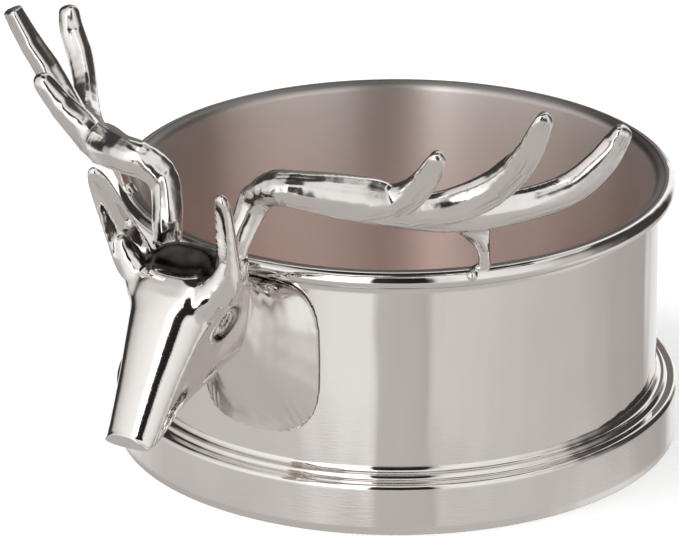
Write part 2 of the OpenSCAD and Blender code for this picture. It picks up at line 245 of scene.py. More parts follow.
def tube(points, radii, sides=10):
    """Vertices and faces of a closed round tube through points, in millimetres."""
    points = np.array(points, float)
    radii = np.broadcast_to(radii, len(points))
    ahead = np.gradient(points, axis=0)
    ahead /= np.linalg.norm(ahead, axis=1)[:, None]
    # A direction that no tube here runs along
    helper = np.array([0.31, -0.52, 0.79])
    verts = []
    for point, t, radius in zip(points, ahead, radii):
        a = np.cross(t, helper)
        a /= np.linalg.norm(a)
        b = np.cross(t, a)
        for k in range(sides):
            angle = 2 * math.pi * k / sides
            verts.append(point + radius * (math.cos(angle) * a + math.sin(angle) * b))
    faces = []
    for i in range(len(points) - 1):
        for k in range(sides):
            m = (k + 1) % sides
            faces.append((i * sides + k, i * sides + m, (i + 1) * sides + m, (i + 1) * sides + k))
    faces.append(tuple(range(sides))[::-1])
    faces.append(tuple((len(points) - 1) * sides + k for k in range(sides)))
    return np.array(verts), faces


def bead_of_metal(centre, radius, squash=1.0):
    """A small rounded lump, as vertices and faces in millimetres."""
    angles = [math.radians(a) for a in range(-80, 81, 20)]
    points = [(centre[0], centre[1], centre[2] + squash * radius * math.sin(a)) for a in angles]
    return tube(points, [radius * math.cos(a) for a in angles], 14)


def wave_noise(co, scale, seed, octaves=3):
    """Smooth deterministic noise from sums of sines, about -1 to 1; scale is its grain in millimetres."""
    rng = np.random.default_rng(seed)
    total, weight, amount = np.zeros(len(co)), 0.0, 1.0
    for _ in range(octaves):
        for _ in range(5):
            direction = rng.normal(size=3)
            direction *= 2 * math.pi / (scale * np.linalg.norm(direction))
            total += amount * np.sin(co @ direction + rng.uniform(0, 2 * math.pi))
            weight += amount * amount / 2
        scale, amount = scale / 2, amount / 2
    return total / (2 * math.sqrt(weight))


def falloff(distance, inner, outer):
    """1 within inner, 0 beyond outer, smooth between."""
    t = np.clip((outer - distance) / (outer - inner), 0, 1)
    return t * t * (3 - 2 * t)


def rise(value, low, high):
    """0 below low, 1 above high, smooth between."""
    return falloff(-value, -high, -low)


def hump(value, middle, width):
    """1 at the middle, falling smoothly to 0 on both sides."""
    return np.exp(-(((value - middle) / width) ** 2))


# Materials


class Nodes:
    """Short-hand for building the node tree of one material or world."""

    def __init__(self, holder):
        holder.use_nodes = True
        self.tree = holder.node_tree
        self.tree.nodes.clear()

    def put(self, socket, value):
        if isinstance(value, bpy.types.NodeSocket):
            self.tree.links.new(value, socket)
        elif isinstance(value, tuple) and socket.type == "RGBA":
            socket.default_value = (*value, 1.0)
        else:
            socket.default_value = value

    def add(self, kind, inputs=None, **settings):
        node = self.tree.nodes.new(kind)
        for key, value in settings.items():
            setattr(node, key, value)
        for key, value in (inputs or {}).items():
            self.put(node.inputs[key], value)
        return node

    def math(self, operation, a, b=0.0, clamp=False):
        return self.add("ShaderNodeMath", {0: a, 1: b}, operation=operation, use_clamp=clamp).outputs[0]

    def plus(self, a, b):
        return self.math("ADD", a, b)

    def times(self, a, b):
        return self.math("MULTIPLY", a, b)

    def dot(self, vector, direction):
        inputs = {0: vector, 1: direction}
        return self.add("ShaderNodeVectorMath", inputs, operation="DOT_PRODUCT").outputs["Value"]

    def ramp(self, factor, stops):
        node = self.add("ShaderNodeValToRGB", {"Fac": factor})
        elements = node.color_ramp.elements
        while len(elements) < len(stops):
            elements.new(1.0)
        for element, (position, color) in zip(elements, stops):
            element.position = position
            element.color = (*color, 1)
        return node.outputs["Color"]

    def noise(self, vector, scale, detail=2.0, roughness=0.5):
        inputs = {"Vector": vector, "Scale": scale, "Detail": detail, "Roughness": roughness}
        return self.add("ShaderNodeTexNoise", inputs).outputs["Fac"]

    def span(self, value, low, high, to_low, to_high, smooth=False):
        inputs = {"Value": value, "From Min": low, "From Max": high, "To Min": to_low, "To Max": to_high}
        kind = "SMOOTHSTEP" if smooth else "LINEAR"
        return self.add("ShaderNodeMapRange", inputs, interpolation_type=kind).outputs["Result"]

    def mix(self, factor, a, b):
        return self.add("ShaderNodeMixRGB", {"Fac": factor, "Color1": a, "Color2": b}).outputs["Color"]

    def place(self):
        return self.add("ShaderNodeTexCoord").outputs["Object"]

    def stretched(self, vector, scale):
        return self.add("ShaderNodeMapping", {"Vector": vector, "Scale": scale}).outputs["Vector"]

    def bump(self, height, distance, strength=1.0, normal=None):
        inputs = {"Height": height, "Distance": distance, "Strength": strength}
        if normal is not None:
            inputs["Normal"] = normal
        return self.add("ShaderNodeBump", inputs).outputs["Normal"]

    def around(self, vector):
        """Angle about the z axis, distance from it and height, each as a socket."""
        parts = self.add("ShaderNodeSeparateXYZ", {"Vector": vector}).outputs
        angle = self.math("ARCTAN2", parts["Y"], parts["X"])
        squares = [self.math("POWER", parts[axis], 2.0) for axis in "XY"]
        return angle, self.math("SQRT", self.plus(*squares)), parts["Z"]

    def vector(self, x, y, z):
        return self.add("ShaderNodeCombineXYZ", {"X": x, "Y": y, "Z": z}).outputs["Vector"]

    def surface(self, shader, kind="ShaderNodeOutputMaterial"):
        self.tree.links.new(shader.outputs[0], self.add(kind).inputs["Surface"])

    def metal(self, color, rough, normal, **more):
        inputs = {"Base Color": color, "Metallic": 1.0, "Roughness": rough, "Normal": normal}
        inputs.update({key.replace("_", " "): value for key, value in more.items()})
        self.surface(self.add("ShaderNodeBsdfPrincipled", inputs))


# Colours of the metal: clean and clouded, brushed and its darker lines; then a painted warm reflection on
# the brushed face near the floor, painted shade at the rim's corner, and the black of painted shade in
# recesses, seams and other dark marks
SILVER = (0.80, 0.772, 0.745)
SILVER_WARM = (0.72, 0.68, 0.645)
SATIN = (0.90, 0.855, 0.825)
SATIN_DARK = (0.83, 0.765, 0.73)
WARM_REFLECTION_TINT = (0.86, 0.70, 0.64)
RIM_SHADE = (0.10, 0.09, 0.088)
PAINTED_DARK = (0.020, 0.014, 0.012)
# Where the brushed face changes, in metres: the height from which a painted warm reflection grows down to
# the floor, the heights over which painted shade darkens it at the rim, and the radii of the painted dark
# line at the seam beside the bead
WARM_REFLECTION_FROM, WARM_REFLECTION_TO = 0.058, 0.012
SHADE_FROM, SHADE_TO = 0.0599, 0.0611
SEAM_FROM, SEAM_TO = 0.0609, 0.0614


def new_material(name):
    material = bpy.data.materials.new(name)
    return material, Nodes(material)


def polished_material():
    """Turned plate: a mirror with slight waves, hairlines and clouded patches."""
    material, n = new_material("polished_plate")
    place = n.place()
    cloud = n.noise(place, 38.0, 3.0)
    fine = n.noise(place, 900.0, 2.0)
    angle, _, height = n.around(place)
    hairline = n.noise(n.vector(n.times(angle, 6.0), n.times(height, 900.0), 0.0), 3.0, 3.0, 0.6)
    wave = n.noise(n.vector(n.times(angle, 2.2), n.times(height, 6.0), 0.0), 3.0, 1.0)
    color = n.mix(n.span(cloud, 0.35, 0.75, 0.0, 0.35), SILVER, SILVER_WARM)
    rough = n.plus(n.span(cloud, 0.3, 0.8, 0.025, 0.06), n.span(hairline, 0.45, 0.8, 0.0, 0.04))
    bend = n.bump(wave, 0.0012, 0.35)
    grain = n.bump(n.plus(hairline, n.times(fine, 0.3)), 0.00002, 0.25, bend)
    n.metal(color, rough, grain)
    return material


def cast_material(name, rough_low, rough_high, wrinkle_depth, wrinkle_share):
    """Polished casting: softer shine, pits, faint wrinkles, and painted shade darkening the recesses and
    the other painted dark marks.
    """
    material, n = new_material(name)
    place = n.place()
    painted_dark_share = n.add("ShaderNodeAttribute", attribute_name="painted_dark_share").outputs["Fac"]
    cloud = n.noise(place, 120.0, 3.0)
    wrinkle = n.noise(place, 260.0, 3.0, 0.5)
    pit = n.noise(place, 1500.0, 2.0)
    # Painted shade in the hollows and the painted dark marks, broken a little by the wrinkles
    dark = n.math("MULTIPLY", painted_dark_share, n.span(wrinkle, 0.3, 0.7, 0.94, 1.0), clamp=True)
    clean = n.mix(n.span(cloud, 0.4, 0.75, 0.0, 0.3), SILVER, SILVER_WARM)
    rough = n.plus(n.span(cloud, 0.3, 0.8, rough_low, rough_high), n.times(dark, 0.2))
    bend = n.bump(wrinkle, wrinkle_depth, wrinkle_share)
    grain = n.bump(n.span(pit, 0.62, 0.75, 1.0, 0.0), 0.00003, 0.3, bend)
    n.metal(n.mix(dark, clean, PAINTED_DARK), rough, grain)
    return material


def satin_material(name, ring_axis):
    """Brushed plate; the brush lines run round the axis, at one height or at one radius."""
    material, n = new_material(name)
    place = n.place()
    angle, radius, height = n.around(place)
    across = height if ring_axis == "height" else radius
    brush = n.noise(n.vector(n.times(angle, 5.0), n.times(across, 2600.0), 0.0), 1.0, 4.0, 0.65)
    broad = n.noise(n.vector(n.times(angle, 1.4), n.times(across, 60.0), 0.0), 1.0, 2.0)
    cloud = n.noise(place, 45.0, 3.0)
    shade = n.plus(n.span(brush, 0.3, 0.7, 0.0, 0.35), n.span(broad, 0.3, 0.7, 0.0, 0.25))
    shade = n.plus(shade, n.span(cloud, 0.35, 0.8, 0.0, 0.3))
    color = n.mix(shade, SATIN, SATIN_DARK)
    # Painted reflection: warmer and rosier towards the floor
    color = n.mix(n.span(height, WARM_REFLECTION_FROM, WARM_REFLECTION_TO, 0.0, 0.9), color, WARM_REFLECTION_TINT)
    # Painted shade on the rim's top
    color = n.mix(n.span(height, SHADE_FROM, SHADE_TO, 0.0, 0.62), color, RIM_SHADE)
    # Painted shade: a dark line at the seam beside the bead
    color = n.mix(n.span(radius, SEAM_FROM, SEAM_TO, 0.0, 0.75), color, PAINTED_DARK)
    rough = n.span(brush, 0.25, 0.75, 0.36, 0.44)
    tangent = n.add("ShaderNodeTangent", direction_type="RADIAL", axis="Z").outputs["Tangent"]
    grain = n.bump(brush, 0.00003, 0.35)
    n.metal(color, rough, grain, Anisotropic=0.92, Anisotropic_Rotation=0.25, Tangent=tangent)
    return material


def baize_material():
    """Dark green felt: short fibres and a clouded nap."""
    material, n = new_material("baize")
    place = n.place()
    fibre = n.noise(n.stretched(place, (1.0, 1.0, 0.3)), 2600.0, 3.0, 0.7)
    nap = n.noise(place, 160.0, 4.0, 0.6)
    shade = n.times(n.plus(fibre, nap), 0.5)
    color = n.ramp(shade, [(0.3, (0.012, 0.045, 0.022)), (0.7, (0.045, 0.12, 0.065))])
    normal = n.bump(fibre, 0.0004, 0.8, n.bump(nap, 0.0005, 0.4))
    inputs = {"Base Color": color, "Roughness": 0.95, "Sheen Weight": 0.5, "Sheen Roughness": 0.5}
    n.surface(n.add("ShaderNodeBsdfPrincipled", {**inputs, "Normal": normal}))
    return material


POLISHED = polished_material()
CAST_HEAD = cast_material("cast_head", 0.05, 0.09, 0.00010, 0.15)
CAST_NECK = cast_material("cast_neck", 0.16, 0.24, 0.00010, 0.15)
CAST_ANTLER = cast_material("cast_antler", 0.14, 0.22, 0.00020, 0.30)
SATIN_WALL = satin_material("satin_wall", "height")
SATIN_FLOOR = satin_material("satin_floor", "radius")
BAIZE = baize_material()


# Turned pieces

# The brushed inner face turns over a round corner onto the rim's top, which rises a little to the
# bead's crest, RIM_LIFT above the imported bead's
RIM_CORNER = 1.8
RIM_SLOPE = 0.10
RIM_LIFT = 0.2
# The angle, in degrees round the wire, at which the bead's crest meets the rim's top
CREST_ANGLE = 96
# Steps up the wall, over the rim's top, round its corner and round the bead
WALL_STEPS, TOP_STEPS, CORNER_STEPS, BEAD_STEPS = 14, 8, 10, 60


def lifted_bead(start, end, steps):
    """Points round the bead's wire, in degrees from its outermost point."""
    return arc(BEAD_R, BEAD_Z + RIM_LIFT, BEAD_WIRE_R, start, end, steps)


def round_wall():
    """The sheet: polished outside, brushed inside and over the rim's corner up to the bead's crest."""
    inner, foot = WALL_R - WALL_T, WALL_LOW.z
    corner_z = BEAD_HIGH.z + RIM_LIFT - RIM_SLOPE - RIM_CORNER
    corner = arc(inner + RIM_CORNER, corner_z, RIM_CORNER, 90, 180, CORNER_STEPS)
    crest = lifted_bead(CREST_ANGLE, CREST_ANGLE, 1)[0]
    out, drop = corner[0][0] - crest[0], corner[0][1] - crest[1]
    outside = [(WALL_R, foot + (BEAD_Z - foot) * i / WALL_STEPS) for i in range(WALL_STEPS + 1)]
    shares = [i / TOP_STEPS for i in range(TOP_STEPS)]
    top = [(crest[0] + out * t, crest[1] + drop * t**1.5) for t in shares]
    down = corner_z - foot
    inside = [(inner, corner_z - down * i / WALL_STEPS) for i in range(1, WALL_STEPS + 1)]
    profile = outside + top + corner + inside
    bands = [0] * len(outside) + [1] * (len(profile) - len(outside))
    piece = lathe("wall_shell", profile, bands)
    for material in (POLISHED, SATIN_WALL):
        piece.data.materials.append(material)
    stand_for(piece, "polished_plate", "wall")


def rim_roll():
    """The round bead outside the sheet's turned edge, closed by a tuck behind its crest."""
    start = math.degrees(math.acos((WALL_R - BEAD_R) / BEAD_WIRE_R))
    over = lifted_bead(-start, CREST_ANGLE, BEAD_STEPS)
    tuck = (over[-1][0], over[-1][1] - 0.5)
    piece = lathe("rim_roll", over + [tuck])
    piece.data.materials.append(POLISHED)
    stand_for(piece, "polished_plate", "rim_bead")


def base_moulding():
    """Upright band, rounded shoulder, ledge and two hollows with a fine ridge between them."""
    floor_z, top = BASE_LOW.z, BASE_HIGH.z
    inner = PAD_HIGH.x + 0.3
    shoulder, low_cove, cove = 1.1, 0.95, 1.3
    ridge_w, ridge_h, ridge_round = 0.45, 0.15, 0.08
    feather = 0.15
    edge, bevel = 0.35, 0.15
    band_rows = 6
    ridge_z = top - cove
    ledge_z = ridge_z - ridge_h - low_cove
    band_h = ledge_z - shoulder - 2.4
    foot = WALL_R + feather + cove
    ridge_out = foot + ridge_w
    profile = [(inner, PAD_HIGH.z), (inner, floor_z + bevel), (inner + bevel, floor_z)]
    profile += [(BASE_R - edge - 0.4, floor_z)]
    profile += arc(BASE_R - edge, floor_z + edge, edge, -90, 0, 5)
    profile += [(BASE_R, floor_z + 2.0 + i * band_h / band_rows) for i in range(band_rows + 1)]
    profile += arc(BASE_R - shoulder, ledge_z - shoulder, shoulder, 0, 90, 14)
    profile += arc(ridge_out + low_cove, ledge_z + low_cove, low_cove, -90, -180, 12)
    profile += arc(ridge_out - ridge_round, ridge_z - ridge_round, ridge_round, 0, 90, 3)
    profile += arc(foot, top, cove, -90, -180, 14)
    profile += [(WALL_R, top), (WALL_R, PAD_HIGH.z)]
    piece = lathe("base_moulding", profile)
    piece.data.materials.append(POLISHED)
    stand_for(piece, "polished_plate", "base_ring")


def floor_plate():
    """The brushed floor inside the wall."""
    radius, low, top = FLOOR_HIGH.x, FLOOR_LOW.z, FLOOR_HIGH.z
    rings, rings_under = 24, 8
    over = [(radius * (1 - i / rings), top) for i in range(rings)] + [(0, top)]
    under = [(0, low)] + [(radius * i / rings_under, low) for i in range(1, rings_under + 1)]
    piece = lathe("floor_plate", under + over)
    piece.data.materials.append(SATIN_FLOOR)
    stand_for(piece, "satin_plate", "floor_disc")


def baize_pad():
    """The baize disc under the floor; its underside is slightly uneven."""
    radius, top = PAD_HIGH.x, PAD_HIGH.z
    edge, rings = 0.35, 40
    flat = radius - edge
    low = [(0, 0.0)] + [(flat * i / rings, 0.0) for i in range(1, rings)]
    rim = arc(flat, edge, edge, -90, 0, 5) + arc(flat, top - edge, edge, 0, 90, 5)
    high = [(flat * (1 - i / rings), top) for i in range(1, rings)] + [(0, top)]
    piece = lathe("baize_disc", low + rim + high)
    co = coords(piece)
    most = 0.2
    under = co[:, 2] < most
    co[:, 2] += np.clip(0.06 * (1 + wave_noise(co, 9.0, 5)) * under, 0, most)
    set_coords(piece, co)
    piece.data.materials.append(BAIZE)
    stand_for(piece, "baize", "base_pad")


# Cast pieces


# Rounds of averaging over which a recess is measured, and how dark the painted shade in a hollow gets for
# each millimetre below that average, up to a most
RECESS_REACH, RECESS_GAIN, RECESS_MOST = 6, 2.2, 0.75


def paint_dark_in_hollows(obj, dark_paint):
    """Stores, as a point attribute that the casting materials read, how dark each point is painted: painted
    shade by how hollow the surface is, plus the painted dark marks given.
    """
    co, n, (pairs, degree) = coords(obj), normals(obj), links_of(obj)
    wide = co
    for _ in range(RECESS_REACH):
        wide = averaged(wide, pairs, degree)
    depth = np.einsum("ij,ij->i", wide - co, n)
    # Painted shade: the deeper a point lies below its surroundings, the darker it is painted
    hollow = np.clip(depth * RECESS_GAIN, 0, RECESS_MOST)[:, None]
    for _ in range(2):
        hollow = averaged(hollow, pairs, degree)
    hollow = np.clip(hollow[:, 0] + dark_paint, 0, 1)
    layer = obj.data.attributes.new("painted_dark_share", "FLOAT", "POINT")
    layer.data.foreach_set("value", hollow.astype(np.float32))


def finish_casting(obj, node, material, dark_paint):
    """Paints shade and the given dark marks into a casting, gives it its material and lets it stand for its
    node.
    """
    paint_dark_in_hollows(obj, dark_paint)
    obj.data.shade_smooth()
    obj.data.materials.clear()
    obj.data.materials.append(material)
    stand_for(obj, "polished_plate", node)


# The eyes: how far forward and high their middle lies, the turn of their opening in the picture,
# half the opening's length and height, and half the ball's. EYE_POWER squares the opening off.
EYE_REACH, EYE_Z = 85.3, 55.9
EYE_TURN = math.radians(124)
EYE_LONG, EYE_SHORT = 4.3, 1.9
BALL_LONG, BALL_SHORT = 2.9, 1.2
EYE_POWER = 2.3
# The slit of the pupil across the ball and the eye's inner corner along and across the opening
SLIT_V = -0.30
CORNER_U, CORNER_V = 3.4, 0.9


def eye_place(co):
    """Where a point of the cheek lies along and across the eye's opening, as the picture shows it."""
    reach, up = -co[:, 1] - EYE_REACH, co[:, 2] - EYE_Z
    across, down = -PICTURE_RIGHT[1] * reach, FRONT_DOWN * reach - HEIGHT_UP * up
    u = across * math.cos(EYE_TURN) + down * math.sin(EYE_TURN)
    v = across * math.sin(EYE_TURN) - down * math.cos(EYE_TURN)
    return u, v


def eye_move(co, side):
    """How far the eye's socket, lids, ball and pupil move the head's skin, and the painted shade on the
    socket's rim, in the inner corner and in the pupil's slit.
    """
    u, v = eye_place(co)
    near = (co[:, 0] * side > 3.0) & (np.abs(u) < 9) & (np.abs(v) < 6)
    long_share, short_share = np.abs(u) / EYE_LONG, np.abs(v) / EYE_SHORT
    r = (long_share**EYE_POWER + short_share**EYE_POWER) ** (1 / EYE_POWER)
    ball_r = np.sqrt((u / BALL_LONG) ** 2 + (v / BALL_SHORT) ** 2)
    within_slit = falloff(np.abs(u), 1.2, 2.0)
    socket = -0.55 * falloff(r, 0.82, 1.0)
    lid = 0.12 * hump(r, 1.1, 0.09)
    ball = 0.5 * np.sqrt(np.clip(1 - ball_r**2, 0, 1)) * (1 + 0.3 * wave_noise(co, 0.9, 61))
    slit = -0.22 * hump(v, SLIT_V, 0.22) * within_slit
    corner = -0.5 * hump(u, CORNER_U, 0.8) * hump(v, CORNER_V, 0.7)
    brow = 0.15 * hump(v, -3.0, 0.8) * hump(u, 0, 4.2)
    # Painted shade on the socket's rim, in the inner corner and in the pupil's slit
    dark_paint = 0.75 * hump(r, 0.95, 0.11) + 1.2 * hump(u, CORNER_U, 0.7) * hump(v, CORNER_V, 0.5)
    dark_paint += 0.7 * hump(v, SLIT_V, 0.2) * within_slit
    return near * (socket + lid + ball + slit + corner + brow), near * dark_paint


def solder_loop():
    """The little run of solder that curls under the left ear's root."""
    turns = [
        (3.1, 2.3), (2.3, 0.4), (1.3, -0.8), (-0.4, -1.9), (-2.2, -1.75), (-3.5, -0.7), (-4.0, 0.1),
    ]
    x, reach, z = 14.6, 91.0, 68.7
    path = [(x - 0.14 * abs(ahead), -(reach + ahead), z + up) for ahead, up in turns]
    return tube(path, [0.35, 0.5, 0.6, 0.65, 0.6, 0.5, 0.35])


# The flat of the face: the directions down it towards the nose and out of it, and how far out it lies
FACE_DOWN = np.array((0.0, -0.470, -0.883))
FACE_OUT = np.array((0.0, -0.883, 0.470))
FACE_LEVEL = 118.1
# Half width of the muzzle's arch by the place down the face, and the power of the arch's curve,
# where 2 is a circle
FACE_PLACES = [-14, -10, -6, -2, 2, 6, 10, 14, 18, 23]
FACE_HALF_WIDTHS = [9.9, 9.9, 9.3, 8.7, 8.1, 7.5, 7.0, 6.6, 6.3, 6.1]
ARCH_POWER = 2.35


def round_face(co):
    """Turns the boxy front of the muzzle into one rounded arch."""
    down, out = co @ FACE_DOWN, co @ FACE_OUT
    radius = np.interp(down, FACE_PLACES, FACE_HALF_WIDTHS)
    middle = FACE_LEVEL - radius
    ahead = out - middle
    u, v = np.abs(co[:, 0]) / radius, np.clip(ahead, 0, None) / radius
    size = (u**ARCH_POWER + v**ARCH_POWER) ** (1 / ARCH_POWER)
    share = rise(ahead, 0.0, 0.55 * radius) * rise(down, -13.5, -7.0)
    share *= falloff(size, 1.3, 1.45) * (size > 0.75)
    scale = 1 + share * (1 / np.clip(size, 0.5, None) - 1)
    moved = co + np.outer(ahead * (scale - 1), FACE_OUT)
    moved[:, 0] = co[:, 0] * scale
    return moved


# From each side of the muzzle a swelling runs up into the ear's root
FLARE_LINE = [
    (4.4, -99.6, 55.6), (6.0, -97.4, 59.2), (7.9, -94.4, 62.8), (9.1, -92.4, 65.4), (12.0, -92.2, 69.2),
    (13.8, -92.6, 73.6),
]
FLARE_RADII = [1.6, 2.7, 3.3, 3.3, 2.5, 1.4]


def flare(side):
    return tube([(side * x, y, z) for x, y, z in FLARE_LINE], FLARE_RADII, 16)


def crown_painted_reflection(co, n):
    """A painted dark reflection on the saddle between the ears, with its wavering front edge."""
    reach = -co[:, 1]
    ripple = 0.7 * np.sin(co[:, 0] * 0.9 + 0.6) + 0.4 * np.sin(co[:, 0] * 2.1)
    front = falloff(reach, 92.7 + ripple, 93.3 + ripple)
    behind = rise(reach, 83.0, 84.5)
    wide = falloff(np.abs(co[:, 0]), 12.5, 14.0)
    level = rise(co[:, 2], 62.0, 64.0) * falloff(co[:, 2], 73.0, 75.5)
    return front * behind * wide * level * rise(n[:, 2], 0.05, 0.30)


# Sizes of the grid on which each casting is remeshed
HEAD_VOXEL, NECK_VOXEL, ANTLER_VOXEL = 0.42, 0.45, 0.28


def stag_head():
    """The head and ears: remeshed, rounded, smoothed, then the eyes with their painted shade and the
    painted dark reflection on the saddle.
    """
    parts = [mesh_of("head"), solder_loop(), flare(1), flare(-1)]
    obj = remeshed("stag_head", parts, HEAD_VOXEL)
    set_coords(obj, round_face(coords(obj)))
    relax(obj, 40)
    fill_creases(obj, 36)
    relax(obj, 60)
    co = coords(obj)
    ears = rise(np.abs(co[:, 0]), 7.0, 9.0) * rise(co[:, 2], 62.0, 66.0)
    relax(obj, 120, mask=ears)
    co, n = coords(obj), normals(obj)
    jaw = falloff(n[:, 2], -0.2, 0.1) * falloff(co[:, 1], -76.0, -72.0) * falloff(co[:, 2], 58.0, 62.0)
    relax(obj, 80, mask=jaw)
    finer(obj)
    co, n = coords(obj), normals(obj)
    # Painted dark reflection on the saddle between the ears
    move, dark_paint = 0.03 * wave_noise(co, 11.0, 21), crown_painted_reflection(co, n)
    for side in (-1, 1):
        eye, eye_dark_paint = eye_move(co, side)
        move += eye
        dark_paint += eye_dark_paint
    set_coords(obj, co + n * move[:, None])
    relax(obj, 1)
    finish_casting(obj, "head", CAST_HEAD, dark_paint)


def neck_folds(co, side):
    """Three short folds in the neck's lower corner, on one side."""
    turn = np.degrees(np.arctan2(co[:, 0] * side, -co[:, 1])) - 9.8
    up = co[:, 2] - 25.5
    along, across = turn * 1.05 + up * 0.35, up - turn * 0.35
    folds = ((-1.6, 0.20), (0.0, 0.28), (1.5, 0.20))
    return sum(height * hump(along, place, 0.45) for place, height in folds) * hump(across, 0, 3.6)


def off_wall(co):
    """How far each point lies outside the wall."""
    return np.hypot(co[:, 0], co[:, 1]) - WALL_R


def stag_neck():
    """The neck and its flange: smoothed away from the wall, folded, and with painted shade along its seam.
    """
    lump = bead_of_metal((5.6, -64.4, 56.0), 1.7, 0.8)
    obj = remeshed("stag_neck", [mesh_of("neck"), lump], NECK_VOXEL)
    relax(obj, 150, mask=rise(off_wall(coords(obj)), 0.45, 1.2))
    finer(obj)
    co, n = coords(obj), normals(obj)
    move = 0.03 * wave_noise(co, 15.0, 22) + neck_folds(co, -1) + neck_folds(co, 1)
    move *= rise(off_wall(co), 0.45, 1.2)
    set_coords(obj, co + n * move[:, None])
    # Painted shade along the seam against the wall
    seam_shade = falloff(off_wall(coords(obj)), 0.25, 0.60)
    finish_casting(obj, "neck", CAST_NECK, 0.8 * seam_shade)


# Middle lines of the left antler's beam and of its two side tines
BEAM_LINE = [
    (10.2, -79.5, 78.6), (12.0, -78.3, 83.1), (16.0, -79.3, 86.4), (21.0, -79.1, 87.3), (26.0, -75.4, 85.8),
    (31.7, -69.5, 83.7), (36.8, -63.9, 81.5), (40.4, -58.3, 79.3), (44.4, -52.6, 77.7), (49.9, -45.7, 77.0),
    (56.3, -38.3, 77.6), (62.6, -31.9, 80.2), (67.4, -27.9, 85.2), (70.5, -26.0, 90.6), (72.4, -25.7, 93.9),
]
FRONT_TINE_LINE = [
    (33.5, -67.8, 82.9), (37.9, -64.5, 83.1), (42.0, -63.6, 85.8), (46.4, -64.6, 90.8), (51.0, -68.1, 97.3),
]
MIDDLE_TINE_LINE = [
    (40.2, -60.0, 80.2), (45.4, -55.5, 80.4), (50.1, -52.7, 82.2), (54.9, -50.7, 85.6), (60.0, -50.2, 91.0),
    (64.5, -51.3, 97.5), (68.1, -52.8, 104.8),
]
# How much fuller the beam is above its middle line than the solid
BEAM_RISE = 1.0
# How far the flattened top and the tines' edge are turned from straight up towards the front
FLAT_TURN, EDGE_TURN = 0.66, 1.45
# The file's long flats: how many go round, how high they are and how far they wander
FLATS = ((2, 0.08, 0.7), (3, 0.10, 0.9), (5, 0.07, 1.2), (7, 0.05, 1.6))
# The fine grooves underneath, painted dark: how many go round and how far they wander
FINE_LINES = ((11, 1.8), (17, 2.4))
# Each line's length starts counting this much after the one before
LINE_START = 40.0


def along_lines(co, side):
    """For each point the length along the nearest middle line, the angle around it and the distance."""
    best = np.full(len(co), 1e9)
    length, angle = np.zeros(len(co)), np.zeros(len(co))
    for k, line in enumerate((BEAM_LINE, FRONT_TINE_LINE, MIDDLE_TINE_LINE)):
        line = np.array(line) * (side, 1, 1)
        travelled = LINE_START * k
        for a, b in zip(line[:-1], line[1:]):
            step = b - a
            size = np.linalg.norm(step)
            t = np.clip((co - a) @ step / size**2, 0, 1)
            arm = co - (a + t[:, None] * step)
            far = np.linalg.norm(arm, axis=1)
            aim = step / size
            level = np.cross(aim, (0.0, 0.0, 1.0))
            level /= np.linalg.norm(level)
            rising = np.cross(level, aim)
            closer = far < best
            best[closer] = far[closer]
            length[closer] = (travelled + t * size)[closer]
            angle[closer] = np.arctan2(arm @ rising, arm @ level)[closer]
            travelled += size
    return length, angle, best


def strokes(co, side, seed):
    """The file's work on an antler: how far it moves the skin, and the painted dark in its fine grooves."""
    length, angle, radius = along_lines(co, side)
    rng = np.random.default_rng(seed)

    def turned_from(front_turn):
        off = angle - (math.pi / 2 - side * front_turn)
        return np.abs((off + math.pi) % (2 * math.pi) - math.pi)

    def wandering(lobes, waves, wander):
        phase = rng.uniform(0, 2 * math.pi)
        drift = sum(np.sin(length / wave + rng.uniform(0, 6.28)) for wave in waves) * wander / 2
        return lobes * angle + phase + drift

    off_top, off_edge = turned_from(FLAT_TURN), turned_from(EDGE_TURN)
    out, size = np.abs(co[:, 0]), np.clip(radius, 1.0, 5.0)
    move = size * (-0.13 * hump(off_top, 0, 0.42) + 0.03 * hump(off_top, 0.9, 0.35))
    on_tines = rise(co[:, 2], 85.0, 92.0) * rise(out, 40.0, 46.0)
    move += on_tines * size * (0.16 * hump(off_edge, 0, 0.30) - 0.05 * hump(off_edge, 0.8, 0.35))
    on_beam = rise(out, 13.0, 20.0) * falloff(out, 34.0, 40.0) * falloff(co[:, 2], 89.0, 92.0)
    move += BEAM_RISE * on_beam * falloff(off_top, 0.7, 1.5)
    for lobes, height, wander in FLATS:
        turn = wandering(lobes, (5.5, 9.0, 16.0), wander)
        fade = 0.65 + 0.35 * np.sin(length / 7.0 + rng.uniform(0, 6.28))
        move += height * fade * np.sin(turn)
    lines = np.zeros(len(co))
    for lobes, wander in FINE_LINES:
        turn = wandering(lobes, (3.5, 7.0, 13.0), wander)
        broken = 0.6 + np.sin(length / 4.5 + rng.uniform(0, 6.28)) + 0.3 * np.sin(length / 2.1)
        lines += np.clip(broken, 0, 1) * np.clip(np.sin(turn) - 0.6, 0, 1) * 2.2
    return move, np.clip(lines, 0, 1) * rise(off_top, 1.2, 1.7)


# The strut under each antler: its right edge in the picture, the heights between which it narrows
# towards that edge, the web that runs from it to the beam, and the solder drop at its foot
STRUT_EDGE = (48.9, -41.6)
STRUT_TOP, STRUT_FOOT = 74.0, 64.0
WEB_LINE = [
    (39.0, -59.5, 78.6), (42.2, -54.6, 76.6), (44.6, -51.0, 75.0), (46.3, -48.0, 73.0), (47.6, -45.4, 70.2),
    (48.0, -43.8, 67.0),
]
WEB_RADII = [1.0, 1.7, 1.9, 1.8, 1.4, 0.8]
FOOT_DROP = (45.1, -43.8, 60.4)


